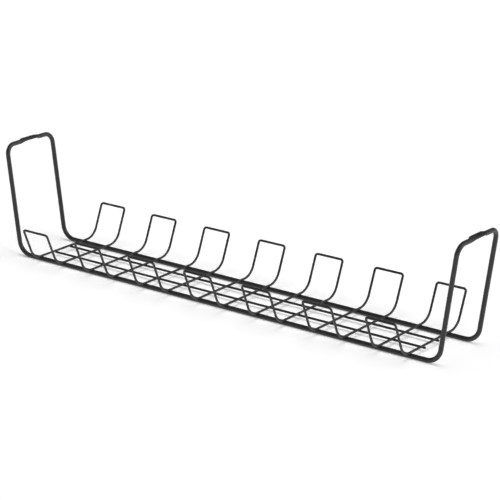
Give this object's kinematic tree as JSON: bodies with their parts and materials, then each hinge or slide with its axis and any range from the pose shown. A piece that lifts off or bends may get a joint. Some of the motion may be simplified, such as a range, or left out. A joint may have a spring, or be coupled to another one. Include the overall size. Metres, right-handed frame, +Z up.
{
  "type": "cable tray",
  "caption": "Under-desk cable tray of welded wire: a heavy wire frame with a hoop at each end and light wire cradles turned up into retaining tabs.",
  "frame": {"origin": "below the middle of the tray, on the surface that the two rails stand on", "axes": "+X along the tray, +Y to its rear, +Z up to the top bars that screw to a desk"},
  "size_m": [0.7044, 0.1578, 0.151],
  "materials": {
    "frame_wire": "satin black powder coat, fine grain",
    "light_wire": "satin black powder coat, fine grain"
  },
  "bodies": {
    "root": {"perimeter_frame": "frame_wire", "cradle_1": "light_wire", "cradle_2": "light_wire", "cradle_3": "light_wire", "cradle_4": "light_wire", "cradle_5": "light_wire", "cradle_6": "light_wire", "cradle_7": "light_wire", "stringer_front": "light_wire", "stringer_rear": "light_wire"}
  },
  "joints": []
}
